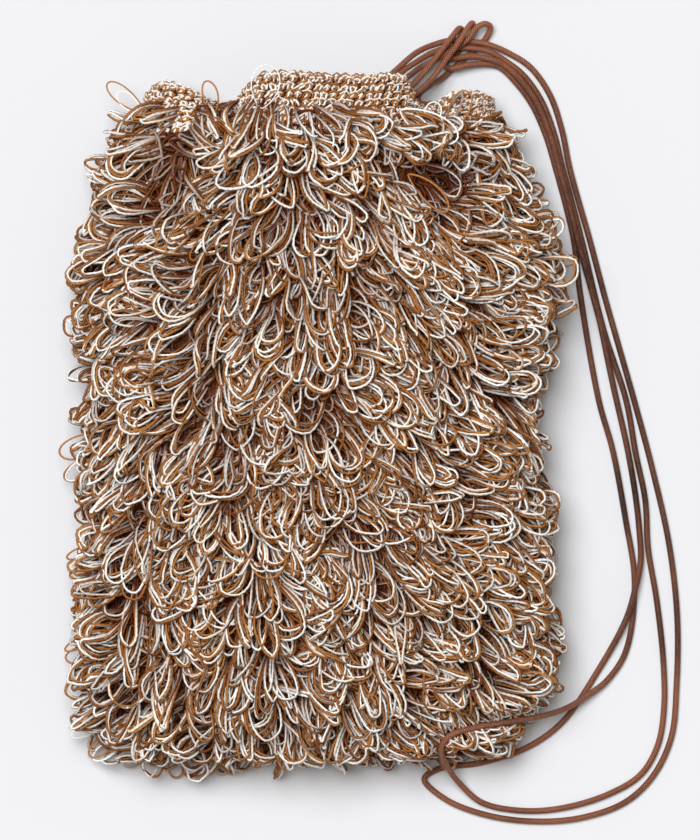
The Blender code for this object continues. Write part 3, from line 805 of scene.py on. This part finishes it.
# the pile: every loop is a cream and an ochre yarn side by side, combed down and out to the sides
pile = {
    "topRow": 155.0,
    "tierPitch": 26.8,
    "tiers": 12,
    "rowsPerTier": 4,
    "frontPitch": 9.5,
    "nested": (0.3, 0.42, 0.28),  # shares of tufts with one, two and three loops
    "nestStep": 0.1,
    "backPitch": 11.0,
    "frontOver": 0.12,  # how far round the sides the front's rows run on, and the rows beneath begin
    "backFrom": 0.14,
    "rowJitter": (0.012, 1.9),  # of the turn and the y of a tuft, and then of its own loops
    "rootJitter": (0.009, 1.1),
    "backJitter": 1.2,
    "footJitter": (-0.5, 1.0),
    "length": (23.0, 33.0),
    "lengthJitter": 1.9,
    "narrow": 3.5,  # the slimmest loop, and how much wider the widest is
    "wider": 13.5,
    "widthPower": 1.35,  # over 1 makes slim loops commoner
    "widthAcross": ((-1.0, 0.72), (-0.7, 1.0), (-0.2, 1.15), (0.15, 1.0), (0.5, 0.78), (1.0, 0.75)),
    "sideShort": 0.28,  # how much shorter the loops are at the bag's sides, and at its closed end
    "endShort": 0.36,
    "endFrom": (146.0, 164.0),
    "backLength": (20.0, 27.0),
    "backCalm": 0.2,  # the loops under the bag are pressed flat
    "backRise": 0.14,
    "yarnRadius": 0.76,
    "floorGap": 0.1,
    "offFloor": (2.4, 0.6),  # more of it by chance, round the bag and under it
    "points": 20,
    "tipShare": 0.28,  # how much closer the points stand round the tip
    "sides": 3,
    "rootGap": 1.5,
    "rise": (5.0, 13.0),
    "curl": 2.4,
    "bend": 3.0,
    "roll": 0.3,
    "twist": 0.7,
    "sharp": (0.5, 1.8),
    "swell": 1.6,
    "sink": 0.8,  # how deep the roots are in the cloth
    "wobble": (1.0, 0.7, 0.35),
    "kinks": ((4.0, 0.36), (6.0, 0.25)),  # waves round a loop, and how far they push the yarn
    "scatter": 13.0,
    "ownScatter": 4.0,
    "swirl": (19.0, 0.6),  # degrees that the slow waves comb, and the share of it that the quick ones do
    "wildShare": 0.08,
    "wildTurn": 70.0,
    "rimFrom": (138.0, 150.0),
    "mostTurn": (96.0, 72.0),  # down the bag, and under the rim
    "mostFrom": (125.0, 145.0),
    "topNarrow": 0.3,
    "curlyFrom": (98.0, 150.0),  # towards the rim the loops are shorter and bend more
    "topShort": 0.2,
    "topBend": 1.3,
    "openness": 1.25,  # how far the loops turn their faces up
    "outward": (0.44, 0.03),  # share of an outward heading that side loops keep, and more of it where tousled
    "buriedShade": (0.55, 1.6),  # painted shade: how dark the lowest loops are painted, and how soon that ends for higher ones
    "pairGap": 0.74,
    "pairTwist": 0.5,  # how much a pair turns about itself along its loop
    "looseShare": 0.62,  # a loose pair's yarns differ, and a tight pair's hardly do
    "tight": 0.15,
    "overhang": 11.0,  # how far loops reach past the bag's sides
    "leastShare": 0.35,  # of a loop's size, when it is drawn in at the edge
    "droop": 0.3,
    "softEdge": 3.0,
    "fold": (0.8, 0.9),  # how far loops sink where they fold over the sides, and over the closed end
    "ease": (0.45, 1.1),  # share of the reach past an edge that any loop has, and more by chance
    "standClear": 2.2,  # and more still that a few have
    "endReach": (
        (-110, 7), (-80, 6.5), (-40, 6), (20, 7.5), (58, 5.5), (72, 2.2), (88, 0.9),
        (105, 0.8),
    ),
    "reachWaves": 0.6,  # how much the reach varies from tuft to tuft
    # x, y and breadth of places where they reach further, and how much
    "tousled": (
        (-112, 50, 26, 13), (-100, 130, 26, 13), (115, 72, 30, 14),
        (100, 128, 16, 5), (-112, -20, 24, 13), (-112, -66, 22, 14),
        (-112, -114, 22, 12), (-108, -156, 34, 26), (108, -100, 30, 3),
        (106, -156, 24, -5), (112, 10, 28, -8),
    ),
    "hollows": ((-70.0, 129.0, 9.0, 20.0), (58.0, 120.0, 10.0, 13.0)),
    # painted shade on the loops in the dark hollows
    "hollowShade": 0.95,
    "hollowFlat": 0.75,
    "hollowKept": 0.55,
    "topLimit": (
        (-1, 152.5), (-0.9, 155.5), (-0.72, 157), (-0.6, 158), (-0.47, 157), (-0.4, 158.5),
        (-0.28, 159), (-0.1, 157), (0.1, 154.5), (0.45, 151.5), (0.55, 152), (0.64, 151),
        (0.74, 149), (1, 148),
    ),
    "topScatter": (1.0, 95.0, 150.0),  # how much more the loops under the rim scatter, and from where
    "endFade": (152.0, 165.0),  # where the loops begin to hang down over the closed end
    "endDrop": 1.3,
    "endRow": -164.8,
    "cordRoom": 2.6,  # from a cord's middle down to the loops that it lies on
    "cordBeside": 2.0,  # the loops rise again this far beside the cord
    "cordSlope": 3.0,
    "cordPress": 3.0,
    "tone": (0.3, 0.36),
    # the way that the loops lie: y, then degrees from straight down at the fractions below
    "flowFractions": (-1.0, -0.5, -0.1, 0.25, 0.6, 1.0),
    "flow": (
        (-165, -66, -8, 12, 30, 42, 56),
        (-150, -78, -10, 14, 32, 44, 60),
        (-100, -38, -6, 18, 38, 50, 62),
        (-50, -42, -10, 16, 36, 52, 62),
        (-5, -50, -18, 12, 33, 50, 66),
        (35, -64, -35, 4, 30, 50, 72),
        (75, -86, -52, -8, 30, 55, 84),
        (115, -84, -42, 2, 38, 62, 82),
        (150, -60, -36, 18, 62, 76, 74),
    ),
}
flowTable = np.array(pile["flow"], float)
topLimit, endReach, widthAcross = (np.array(pile[name]) for name in ("topLimit", "endReach", "widthAcross"))


def flowAngle(fraction, y):
    rows = np.array([np.interp(fraction, pile["flowFractions"], row[1:]) for row in flowTable])
    place = np.interp(y, flowTable[:, 0], np.arange(len(flowTable)))
    low = np.clip(np.floor(place).astype(int), 0, len(flowTable) - 2)
    share = place - low
    index = np.arange(len(fraction))
    return rows[low, index] * (1.0 - share) + rows[low + 1, index] * share


# slow waves that comb the pile into tufts, and quicker ones within them
def combWaves(count, slowest, quickest):
    return [(rng.uniform(slowest, quickest), rng.uniform(0.0, math.tau), rng.uniform(0.0, math.tau))
            for _ in range(count)]


slowWaves, quickWaves = combWaves(7, 0.08, 0.22), combWaves(9, 0.3, 0.55)


def swirl(waves, x, y):
    total = np.zeros_like(x)
    for frequency, heading, phase in waves:
        total += np.sin(frequency * (x * math.cos(heading) + y * math.sin(heading)) + phase)
    return total / math.sqrt(len(waves) / 2.0)


def tousle(x, y):
    total = np.zeros_like(x)
    for placeX, placeY, breadth, extra in pile["tousled"]:
        total += extra * np.exp(-((x - placeX) ** 2 + (y - placeY) ** 2) / breadth ** 2)
    return total


# one in the middle of a dark hollow between two folds of the mouth, falling to nothing around it
def inHollow(points):
    deep = np.zeros(points.shape[:-1])
    for centreX, centreY, breadth, tall in pile["hollows"]:
        apart = ((points[..., 0] - centreX) / breadth) ** 2 + ((points[..., 1] - centreY) / tall) ** 2
        deep = np.maximum(deep, np.exp(-apart ** 2))
    return deep


# the bag's middle and half width at y
def middleAndHalf(y):
    return [lookUp(sections, y, column) for column in (1, 2)]


# how much of a reach past an edge is kept, so that it never comes to more than most
def soften(past, most):
    return most * (1.0 - np.exp(-past / most))


# how far each loop is drawn in towards its root, so that its tip stays near the bag's edge
def drawnIn(root, paths, ease):
    tip = paths[:, :, pile["points"] // 2]
    x, y = tip[..., 0], tip[..., 1]
    centre, half = middleAndHalf(y)
    share, excess = np.ones(x.shape), np.zeros(x.shape)
    sideMost = (pile["overhang"] + tousle(x, y)) * ease
    endMost = lookUp(endReach, x) * ease
    for past, most, run in (
        (np.abs(x - centre) - half, sideMost, np.abs(x - root[:, None, 0])),
        (sections[0, 0] - y, endMost, np.abs(y - root[:, None, 1])),
    ):
        past = np.maximum(past, 0.0)
        over = past - soften(past, most)
        share = np.minimum(share, 1.0 - over / np.maximum(run, 1.0))
        excess = np.maximum(excess, over)
    return np.maximum(share, pile["leastShare"])[..., None, None], excess


# loops past the bag's edge fold over it and down towards the table
def drape(points, floorGap, ease):
    x, y, z = points[..., 0], points[..., 1], points[..., 2]
    sideFold, endFold = pile["fold"]
    centre, half = middleAndHalf(y)
    past = np.maximum(np.abs(x - centre) - half, 0.0)
    over = past - soften(past, (pile["overhang"] + tousle(x, y)) * ease)
    x = x - np.sign(x - centre) * over
    z = z - over * sideFold
    past = np.maximum(sections[0, 0] - y, 0.0)
    over = past - soften(past, lookUp(endReach, x) * ease)
    y = y + over
    z = z - over * endFold
    # the drawstring weighs the pile down where it crosses
    crossing = firstRoute[(firstRoute[:, 2] > 0.004) & (firstRoute[:, 1] < 0.0)] / mm
    beside = np.hypot(x[..., None] - crossing[:, 0], y[..., None] - crossing[:, 1]) - pile["cordBeside"]
    limit = crossing[:, 2] - pile["cordRoom"] + np.maximum(beside, 0.0) * pile["cordSlope"]
    limit = limit.min(axis=-1) - pile["cordPress"]
    z = np.minimum(z, limit + soften(np.maximum(z - limit, 0.0), pile["cordPress"]))
    return np.stack([x, y, np.maximum(z, floorGap)], axis=-1)


# along, across and out of the face of each loop: combed by the flow and the waves, and laid to the wall
def loopFrames(turn, y, root, normal, parent, back):
    count, parents = len(parent), parent[-1] + 1
    degrees, quickShare = pile["swirl"]
    angle = flowAngle(np.cos(turn), y) + swirl(slowWaves, root[:, 0], root[:, 1]) * degrees
    angle = angle + swirl(quickWaves, root[:, 0], root[:, 1]) * degrees * quickShare
    more, low, high = pile["topScatter"]
    scatter = pile["scatter"] * (1.0 + more * smoothStep(y, low, high))
    angle = angle + rng.normal(0.0, 1.0, parents)[parent] * scatter
    angle = angle + rng.normal(0.0, pile["ownScatter"], count)
    wild = rng.random(parents) < pile["wildShare"]
    turned = np.where(wild, rng.uniform(-1.0, 1.0, parents) * pile["wildTurn"], 0.0)[parent]
    angle = angle + turned * (1.0 - smoothStep(y, *pile["rimFrom"]))
    most = np.interp(y, pile["mostFrom"], pile["mostTurn"])
    angle = np.radians(np.clip(angle, -most, most))
    drop = -pile["endDrop"] * smoothStep(-y, *pile["endFade"]) * np.maximum(1.0 - normal[:, 2], 0.0)
    heading = unit(np.stack([np.sin(angle), -np.cos(angle), drop], axis=-1))
    outward = np.sum(heading * normal, axis=-1, keepdims=True)
    share, more = pile["outward"]
    share = np.clip(share + more * tousle(root[:, 0], root[:, 1]), 0.2, 0.95)[:, None]
    along = unit(heading - normal * outward * np.where(outward > 0.0, 1.0 - share, 1.0))
    facing = unit(normal + np.array([0.0, 0.0, -0.4 if back else pile["openness"]]))
    across = unit(np.cross(facing, along))
    return along, across, np.cross(along, across)


# every loop's line in its own frame, as loops x 2 yarns x points, and how far it rises
def loopShapes(turn, y, root, normal, parent, smaller, back):
    count, parents = len(parent), parent[-1] + 1
    calm = pile["backCalm"] if back else 1.0
    loose = np.where(rng.random(count) < pile["looseShare"], 1.0, pile["tight"])[:, None]

    # a value for each tuft, and how much its loops' yarns differ from it
    def each(base, difference):
        return (base[parent][:, None] + loose * difference * rng.normal(0.0, 1.0, (count, 2)))[..., None]

    flat = 1.0 - pile["hollowFlat"] * inHollow(root)[:, None, None]
    curly = smoothStep(y, *pile["curlyFrom"]) * calm
    atEnd = smoothStep(-y, *pile["endFrom"]) * smoothStep(normal[:, 2], 0.2, 0.6)
    shorter = pile["sideShort"] * smoothStep(np.abs(normal[:, 0]), 0.5, 0.95) + pile["endShort"] * atEnd
    shorter = shorter + pile["topShort"] * curly
    length = rng.uniform(*pile["backLength" if back else "length"], parents)
    length = each(length, pile["lengthJitter"]) * smaller
    length = length * (1.0 - shorter)[:, None, None]
    broad = lookUp(widthAcross, np.cos(turn))
    broad = (broad * (1.0 - pile["topNarrow"] * smoothStep(y, *pile["rimFrom"])))[:, None, None]
    width = pile["narrow"] + pile["wider"] * rng.random(parents) ** pile["widthPower"]
    width = each(width, 1.3) * smaller * broad
    height = pile["backRise"] if back else 1.0
    rise = each(rng.uniform(*pile["rise"], parents), 1.2) * height * smaller * flat
    curl = each(rng.normal(0.0, pile["curl"], parents), 0.8) * calm * flat
    bend = each(rng.normal(0.0, pile["bend"], parents), 0.8) * (1.0 + pile["topBend"] * curly)[:, None, None]
    roll = each(rng.normal(0.0, pile["roll"], parents), 0.1) * calm
    twist = each(rng.normal(0.0, pile["twist"], parents), 0.2) * calm
    sharp = each(rng.uniform(*pile["sharp"], parents), 0.15)
    step = np.linspace(0.0, 1.0, pile["points"])
    t = math.tau * step + pile["tipShare"] * np.sin(math.tau * step)
    reach = (1.0 - np.cos(t)) / 2.0
    shape = np.sin(t) * np.maximum(np.sin(t / 2.0), 1e-6) ** sharp
    shape = shape / np.max(np.abs(shape), axis=-1, keepdims=True)
    a = shape * np.abs(width) / 2.0 + pile["rootGap"] * np.cos(t / 2.0)
    b = reach * length - pile["sink"]
    c = rise * reach ** 0.8 + curl * reach ** 3 + pile["swell"] * calm * np.sin(math.pi * reach)
    c = c - pile["sink"] * np.cos(t / 2.0) ** 8
    lean = roll + twist * reach
    a, c = a * np.cos(lean), c + a * np.sin(lean)
    envelope = np.sqrt(reach)
    for waves, size in enumerate(pile["wobble"], start=1):
        a = a + envelope * size * np.sin(waves * t + each(rng.uniform(0.0, math.tau, parents), 0.6)) * 0.8
        c = c + envelope * size * np.sin(waves * t + each(rng.uniform(0.0, math.tau, parents), 0.6)) * calm
    for waves, size in pile["kinks"]:  # bend and rise serve as their phases
        a = a + envelope * size * np.sin(waves * t + 9.0 * bend)
        c = c + envelope * size * np.sin(waves * t + 9.0 * rise) * calm
    return a + bend * reach ** 2, b, np.maximum(c, 0.5 if back else -0.4), t, reach, rise


# the loops of one row; pairs of yarns x points, in millimetres
def loopPaths(turn, y, back):
    copies = np.ones(len(turn), int)
    if not back:
        copies = copies + np.searchsorted(np.cumsum(pile["nested"][:2]), rng.random(len(turn)))
    parent = np.repeat(np.arange(len(turn)), copies)
    order = np.arange(len(parent)) - np.repeat(np.cumsum(copies) - copies, copies)
    count = len(parent)
    turnJitter, yJitter = pile["rootJitter"]
    turn = turn[parent] + rng.normal(0.0, turnJitter, count)
    y = y[parent] + rng.normal(0.0, yJitter, count)
    root, normal = wallPoint(turn, y, *insets(y)), wallNormal(turn, y)
    along, across, facing = loopFrames(turn, y, root, normal, parent, back)
    smaller = (1.0 - pile["nestStep"] * order)[:, None, None]
    a, b, c, t, reach, rise = loopShapes(turn, y, root, normal, parent, smaller, back)
    paths = layOut(root, (across, along, facing), (a, b, c))
    uneven = 1.0 + pile["reachWaves"] * np.clip(swirl(quickWaves, root[:, 0], root[:, 1]), -1.6, 1.6)
    least, chance = pile["ease"]
    free = rng.random(count)
    ease = ((least + chance * free + pile["standClear"] * free ** 6) * uneven)[:, None, None]
    share, excess = drawnIn(root, paths, ease[..., 0])
    paths = root[:, None, None] + (paths - root[:, None, None]) * share
    paths[..., 2] -= pile["droop"] * excess[..., None] * reach ** 2
    # the two yarns of a pair lie one each side of the loop's line
    ahead = unit(np.gradient(paths.mean(axis=1, keepdims=True), axis=2))
    side = unit(np.cross(ahead, facing[:, None, None]))
    up = np.cross(side, ahead)
    wheel = rng.uniform(0.0, math.tau, count)[:, None, None]
    wheel = wheel + rng.normal(0.0, pile["pairTwist"], count)[:, None, None] * t
    offset = side * np.cos(wheel)[..., None] + up * np.sin(wheel)[..., None] * 0.8
    paths = paths + offset * pile["pairGap"] * np.array([1.0, -1.0])[:, None, None]
    floorGap = pile["yarnRadius"] + pile["floorGap"]
    floorGap = floorGap + rng.uniform(0.0, pile["offFloor"][back], count)[:, None, None]
    # painted shade: the lowest loops are painted darker, and so are those in the hollows
    low, high = pile["rise"]
    buriedShade, ends = pile["buriedShade"]
    shade = np.clip(buriedShade * (1.0 - ends * (rise[..., 0] - low) / (high - low)), 0.0, buriedShade)
    dim = inHollow(paths) * (0.0 if back else 1.0)
    shade = np.maximum(shade[..., None], dim * pile["hollowShade"])
    kept = (dim.max(axis=(1, 2)) < 0.6) | (rng.random(count) < pile["hollowKept"])
    return drape(paths[kept], floorGap[kept], ease[kept] * pile["softEdge"]), facing[kept], reach, shade[kept]


def makeTier(number):
    sets = []
    rows, over, start = pile["rowsPerTier"], pile["frontOver"], pile["backFrom"]
    turnJitter, yJitter = pile["rowJitter"]
    for row in range(rows):
        y = max(pile["topRow"] - (number + row / rows) * pile["tierPitch"], sections[0, 0] + 2.0)
        shift = 0.25 if row % 2 else -0.25
        front = evenTurns(y, pile["frontPitch"], -over, math.pi + over, shift)
        front = front + rng.normal(0.0, turnJitter, len(front))
        places = y + rng.normal(0.0, yJitter, len(front))
        covered = places < lookUp(topLimit, np.cos(front))
        sets.append((front[covered], places[covered], False))
        if number == 0 and row == 0:  # one more row follows the foot of the collar
            edge = evenTurns(y, pile["frontPitch"] * 0.85, -0.05, math.pi + 0.05)
            foot = lookUp(topLimit, np.cos(edge))
            sets.append((edge, foot + rng.normal(*pile["footJitter"], len(edge)), False))
        if number == pile["tiers"] - 1 and row == rows - 1:
            end = evenTurns(pile["endRow"], pile["frontPitch"] * 0.8, 0.05, math.pi - 0.05)
            sets.append((end, pile["endRow"] + rng.uniform(-0.3, 0.3, len(end)), False))
        if row % 2 == 0:
            under = evenTurns(y, pile["backPitch"], math.pi + start, math.tau - start, shift)
            sets.append((under, y + rng.normal(0.0, pile["backJitter"], len(under)), True))
    paths, facing, shades = [], [], []
    for turn, y, back in sets:
        made, face, reach, shade = loopPaths(turn, y, back)
        paths.append(made.reshape(-1, pile["points"], 3))
        facing.append(np.repeat(face, 2, axis=0))
        shades.append(shade.reshape(-1, pile["points"]))
    paths, facing = np.concatenate(paths) * mm, np.concatenate(facing)[:, None]
    count = len(paths)
    ochreFirst = rng.random(count // 2) >= 0.5
    slots = np.stack([ochreFirst, ~ochreFirst], axis=1).reshape(-1)
    tone = np.clip(rng.normal(*pile["tone"], count), 0.0, 1.0)[:, None]
    # painted shade: each yarn darkens towards its root, under the loops above it, and more where its loop is
    # painted darker
    depth = np.maximum(np.clip(1.0 - reach / 0.85, 0.0, 1.0) ** 1.3, np.concatenate(shades))
    made = yarnPiece(f"loopTier{number + 1:02d}", paths, pile["yarnRadius"] * mm, pile["sides"], facing,
                     slots, tone, depth)
    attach(made, "root")
    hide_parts(f"loop_tier_{number + 1:02d}")
    return count


total = sum(makeTier(number) for number in range(pile["tiers"]))
print("pile made:", total, "yarns")

# short loops, painted dark with shade, that lie close on the cloth and fill the gaps between the long ones
underLoops = {
    "rows": (149.0, -164.0, 7.0),
    "pitch": 8.5,
    "under": 0.45,  # how far the rows run on beneath the bag's sides
    "length": (12.0, 19.0),
    "width": (5.0, 9.0),
    "rise": (1.2, 3.6),
    "bend": 2.0,
    "rootGap": 1.2,
    "scatter": 42.0,
    "endDrop": 1.6,
    "jitter": (0.012, 1.6),
    "ease": 0.6,
    # painted shade: how far each yarn goes towards the dark root colour
    "depth": (0.7, 1.0),
    "points": 10,
}


def makeUnderLoops():
    first, last, pitch = underLoops["rows"]
    turns, ys = [], []
    under = underLoops["under"]
    turnJitter, yJitter = underLoops["jitter"]
    for y in np.arange(first, last, -pitch):
        row = evenTurns(y, underLoops["pitch"], -under, math.pi + under, rng.uniform(-0.5, 0.5))
        turns.append(row + rng.normal(0.0, turnJitter, len(row)))
        ys.append(y + rng.normal(0.0, yJitter, len(row)))
    for low, high in ((0.05, math.pi - 0.05), (math.pi + 0.05, math.tau - 0.05)):  # over and under the end
        row = evenTurns(pile["endRow"], underLoops["pitch"] * 0.7, low, high)
        turns.append(row)
        ys.append(pile["endRow"] + rng.uniform(-0.3, 0.8, len(row)))
    turn, y = np.concatenate(turns), np.minimum(np.concatenate(ys), first + 1.0)
    count = len(turn)
    root, normal = wallPoint(turn, y, *insets(y)), wallNormal(turn, y)
    angle = np.radians(flowAngle(np.cos(turn), y) + rng.normal(0.0, underLoops["scatter"], count))
    drop = -underLoops["endDrop"] * smoothStep(-y, *pile["endFade"])
    heading = np.stack([np.sin(angle), -np.cos(angle), drop], axis=-1)
    along = unit(heading - normal * np.sum(heading * normal, axis=-1, keepdims=True))
    across = unit(np.cross(normal, along))
    t = np.linspace(0.0, math.tau, underLoops["points"])
    reach = (1.0 - np.cos(t)) / 2.0
    sizes = [rng.uniform(*underLoops[name], count)[:, None] for name in ("length", "width", "rise")]
    length, width, rise = sizes
    a = np.sin(t) * np.sqrt(np.abs(np.sin(t / 2.0))) * width / 2.0 + underLoops["rootGap"] * np.cos(t / 2.0)
    a = a + rng.normal(0.0, underLoops["bend"], count)[:, None] * reach ** 2
    b, c = reach * length - 0.5, 0.4 + rise * np.sin(0.85 * math.pi * reach)
    paths = layOut(root, (across, along, normal), (a, b, c))
    paths = drape(paths, pile["yarnRadius"] + pile["floorGap"], underLoops["ease"]) * mm
    slots = rng.integers(0, 2, count)
    depth = rng.uniform(*underLoops["depth"], count)[:, None]
    tone = rng.uniform(0.0, 1.0, count)[:, None]
    made = yarnPiece("underLoops", paths, pile["yarnRadius"] * mm, pile["sides"], normal[:, None],
                     slots, tone, depth)
    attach(made, "root")
    print("loops close on the cloth:", count)


makeUnderLoops()

# single loops that have worked loose: root, tip (x, y, z), width, yarn radius, cream or ochre
strays = {
    "loops": (
        ((-27, 156, 47), (-23.5, 177.5, 51), 14, 0.3, "cream"),
        ((67, 146, 33), (75, 165, 37), 10, 0.42, "ochre"),
        ((57, 147, 33), (59, 159.5, 36), 8, 0.4, "cream"),
        ((-86, 155, 26), (-104.5, 168.5, 23), 8, 0.45, "ochre"),
        ((-87, 154, 26), (-99, 164, 24), 7, 0.36, "cream"),
        ((-51.5, 153, 34), (-52, 170, 37), 7.5, 0.5, "ochre"),
        ((-70, -162, 12), (-69, -178, 3), 8, 0.52, "ochre"),
        ((112, 80, 22), (130.5, 80, 12), 6, 0.45, "ochre"),
        ((42, 155, 46), (70, 140, 47), 13, 0.52, "cream"),
        ((43, 154.5, 46), (67.5, 141, 46.5), 10, 0.52, "ochre"),
        ((46, 123, 54), (67, 107, 55), 9, 0.52, "ochre"),
        ((-104, -6, 27), (-127, -18, 16), 11, 0.52, "ochre"),
        ((-103, -14, 27), (-125, -28, 15), 8, 0.52, "cream"),
        ((-103, -15, 25), (-124.5, -30, 13), 9.5, 0.52, "ochre"),
        ((-104, -60, 26), (-124.5, -68, 15), 5, 0.52, "ochre"),
        ((-103, -64, 25), (-123, -76, 14), 8, 0.52, "cream"),
        ((-105, -106, 24), (-126, -112, 14), 5, 0.52, "ochre"),
        ((-103, -112, 24), (-124.5, -120, 13), 8.5, 0.52, "ochre"),
        ((-101, -148, 21), (-122.5, -156, 10), 6, 0.4, "cream"),
        ((-95, -153, 19), (-114, -166, 8), 8, 0.52, "ochre"),
        ((-94, -156, 19), (-111, -169, 8), 7, 0.52, "cream"),
    ),
    "points": 24,
    "sides": 6,
    "bend": 1.6,
    "arch": (2.5, 0.8),  # how high they rise, and how unevenly
}


def makeStrays():
    step = np.linspace(0.0, math.tau, strays["points"])
    reach = (1.0 - np.cos(step)) / 2.0
    shape = np.sin(step) * np.sqrt(np.maximum(np.sin(step / 2.0), 0.0))
    high, uneven = strays["arch"]
    paths, facing, radii, slots = [], [], [], []
    for root, tip, width, radius, colour in strays["loops"]:
        root, tip = np.array(root), np.array(tip)
        along = tip - root
        across = unit(np.cross((0.0, 0.0, 1.0), along))
        path = root + along * reach[:, None] + across * (shape * width / 2.0 / np.max(shape))[:, None]
        path = path + across * (rng.normal(0.0, strays["bend"]) * reach ** 2)[:, None]
        path[:, 2] += high * np.sin(math.pi * reach) + rng.normal(0.0, uneven) * np.sin(2.0 * step)
        paths.append(path)
        facing.append(unit(np.cross(along, across)))
        radii.append(radius * mm)
        slots.append(0 if colour == "cream" else 1)
    made = yarnPiece("strayLoops", np.array(paths) * mm, np.array(radii)[:, None], strays["sides"],
                     np.array(facing)[:, None], slots, 0.0, 0.0)
    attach(made, "root")


makeStrays()
print("stray loops made")
